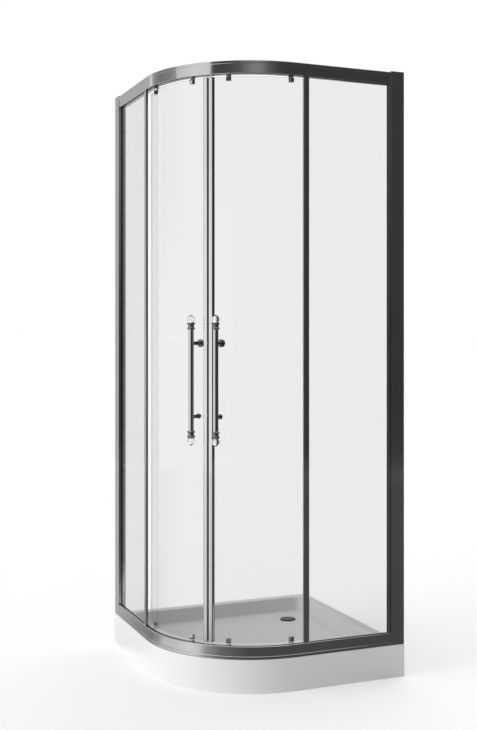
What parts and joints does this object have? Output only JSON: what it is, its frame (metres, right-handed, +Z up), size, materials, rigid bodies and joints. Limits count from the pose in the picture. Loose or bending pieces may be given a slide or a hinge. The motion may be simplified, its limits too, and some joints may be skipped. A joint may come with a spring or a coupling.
{
  "type": "quadrant shower enclosure",
  "caption": "Quadrant corner shower enclosure with curved sliding doors on rollers, fixed side panels, wall channels and a low tray with waste.",
  "frame": {"origin": "middle of the tray's 800 mm square footprint at floor level", "axes": "+Z up; +X towards the right-hand wall; +Y towards the back wall; the curved front and its closing line face -X and -Y together"},
  "size_m": [0.8, 0.8, 2.066],
  "materials": {
    "white_acrylic": "gloss",
    "galvanised_steel": "satin zinc",
    "chrome_trim": "mirror polish",
    "black_rubber": "matt",
    "waste_plastic": "matt",
    "polished_frame": "bright polish",
    "clear_glass": "clear toughened",
    "crystal": "clear faceted acrylic",
    "clear_seal": "soft translucent",
    "steel_screw": "bright",
    "dark_plastic": "matt",
    "clamp_chrome": "bright polish",
    "bright_steel": "bright",
    "white_nylon": "matt"
  },
  "bodies": {
    "enclosure": {"tray_shell": "white_acrylic", "tray_support_frame": "galvanised_steel", "levelling_feet": "galvanised_steel", "foot_lock_nuts": "galvanised_steel", "waste_flange": "chrome_trim", "waste_gasket": "black_rubber", "trap_body": "waste_plastic", "trap_dip_tube": "waste_plastic", "bottom_rail": "polished_frame", "top_rail": "polished_frame", "channel_caps": "chrome_trim", "post_screws": "steel_screw", "rail_end_blocks": "dark_plastic", "rail_end_screws": "steel_screw", "bump_stops": "black_rubber", "wall_channel_right": "polished_frame", "wall_channel_left": "polished_frame", "frame_post_right": "polished_frame", "frame_post_left": "polished_frame", "fixed_glass_right": "clear_glass", "fixed_glass_left": "clear_glass", "glazing_seal_right": "black_rubber", "glazing_seal_left": "black_rubber", "fixed_stile_right": "polished_frame", "fixed_stile_left": "polished_frame"},
    "drain_cover": {"drain_cover": "chrome_trim"},
    "right_door": {"door_glass_right": "clear_glass", "closing_stile_right": "polished_frame", "magnetic_seal_right": "clear_seal", "tail_seal_right": "clear_seal", "roller_brackets_right": "bright_steel", "clamp_blocks_right": "clamp_chrome", "guide_brackets_right": "white_nylon", "handle_bar_right": "chrome_trim", "handle_collars_right": "chrome_trim", "handle_crystals_right": "crystal", "handle_standoffs_right": "chrome_trim", "inside_knob_right": "chrome_trim", "cap_nut_right": "chrome_trim"},
    "right_rear_fork": {"rear_fork_right": "bright_steel"},
    "right_rear_wheel": {"rear_wheel_right": "white_nylon"},
    "right_front_fork": {"front_fork_right": "bright_steel"},
    "right_front_wheel": {"front_wheel_right": "white_nylon"},
    "left_door": {"door_glass_left": "clear_glass", "closing_stile_left": "polished_frame", "magnetic_seal_left": "clear_seal", "tail_seal_left": "clear_seal", "roller_brackets_left": "bright_steel", "clamp_blocks_left": "clamp_chrome", "guide_brackets_left": "white_nylon", "handle_bar_left": "chrome_trim", "handle_collars_left": "chrome_trim", "handle_crystals_left": "crystal", "handle_standoffs_left": "chrome_trim", "inside_knob_left": "chrome_trim", "cap_nut_left": "chrome_trim"},
    "left_rear_fork": {"rear_fork_left": "bright_steel"},
    "left_rear_wheel": {"rear_wheel_left": "white_nylon"},
    "left_front_fork": {"front_fork_left": "bright_steel"},
    "left_front_wheel": {"front_wheel_left": "white_nylon"}
  },
  "joints": [
    {"name": "right_door_slide", "type": "slide", "parent": "enclosure", "child": "right_rear_fork", "axis": [1, 0, 0], "range_m": [0, 0.2152]},
    {"name": "right_door_turn", "type": "hinge", "parent": "right_rear_fork", "child": "right_door", "pos_m": [-0.007, -0.373, 2.047], "axis": [0, 0, 1], "range_deg": [0, 17.2]},
    {"name": "right_front_fork_swivel", "type": "hinge", "parent": "right_door", "child": "right_front_fork", "pos_m": [-0.21272, -0.30971, 2.047], "axis": [0, 0, 1], "range_deg": [0, 17.2]},
    {"name": "right_rear_wheel_spin", "type": "hinge", "parent": "right_rear_fork", "child": "right_rear_wheel", "pos_m": [-0.007, -0.373, 2.0331], "axis": [0, 1, 0], "range_deg": [0, 1240]},
    {"name": "right_front_wheel_spin", "type": "hinge", "parent": "right_front_fork", "child": "right_front_wheel", "pos_m": [-0.21272, -0.30971, 2.0331], "axis": [0.5621, 0.8271, 0], "range_deg": [0, 1240]},
    {"name": "left_door_slide", "type": "slide", "parent": "enclosure", "child": "left_rear_fork", "axis": [0, 1, 0], "range_m": [0, 0.2152]},
    {"name": "left_door_turn", "type": "hinge", "parent": "left_rear_fork", "child": "left_door", "pos_m": [-0.373, -0.007, 2.047], "axis": [0, 0, -1], "range_deg": [0, 17.2]},
    {"name": "left_front_fork_swivel", "type": "hinge", "parent": "left_door", "child": "left_front_fork", "pos_m": [-0.30971, -0.21272, 2.047], "axis": [0, 0, -1], "range_deg": [0, 17.2]},
    {"name": "left_rear_wheel_spin", "type": "hinge", "parent": "left_rear_fork", "child": "left_rear_wheel", "pos_m": [-0.373, -0.007, 2.0331], "axis": [-1, 0, 0], "range_deg": [0, 1240]},
    {"name": "left_front_wheel_spin", "type": "hinge", "parent": "left_front_fork", "child": "left_front_wheel", "pos_m": [-0.30971, -0.21272, 2.0331], "axis": [-0.8271, -0.5621, 0], "range_deg": [0, 1240]},
    {"name": "drain_cover_lift", "type": "slide", "parent": "enclosure", "child": "drain_cover", "axis": [0, 0, 1], "range_m": [0, 0.06]}
  ],
  "couplings": [
    {"joint": "right_door_turn", "follows": "right_door_slide", "rad_per_m": 1.3866},
    {"joint": "right_front_fork_swivel", "follows": "right_door_slide", "rad_per_m": 1.3866},
    {"joint": "right_rear_wheel_spin", "follows": "right_door_slide", "rad_per_m": 100},
    {"joint": "right_front_wheel_spin", "follows": "right_door_slide", "rad_per_m": 100},
    {"joint": "left_door_turn", "follows": "left_door_slide", "rad_per_m": 1.3866},
    {"joint": "left_front_fork_swivel", "follows": "left_door_slide", "rad_per_m": 1.3866},
    {"joint": "left_rear_wheel_spin", "follows": "left_door_slide", "rad_per_m": 100},
    {"joint": "left_front_wheel_spin", "follows": "left_door_slide", "rad_per_m": 100}
  ]
}
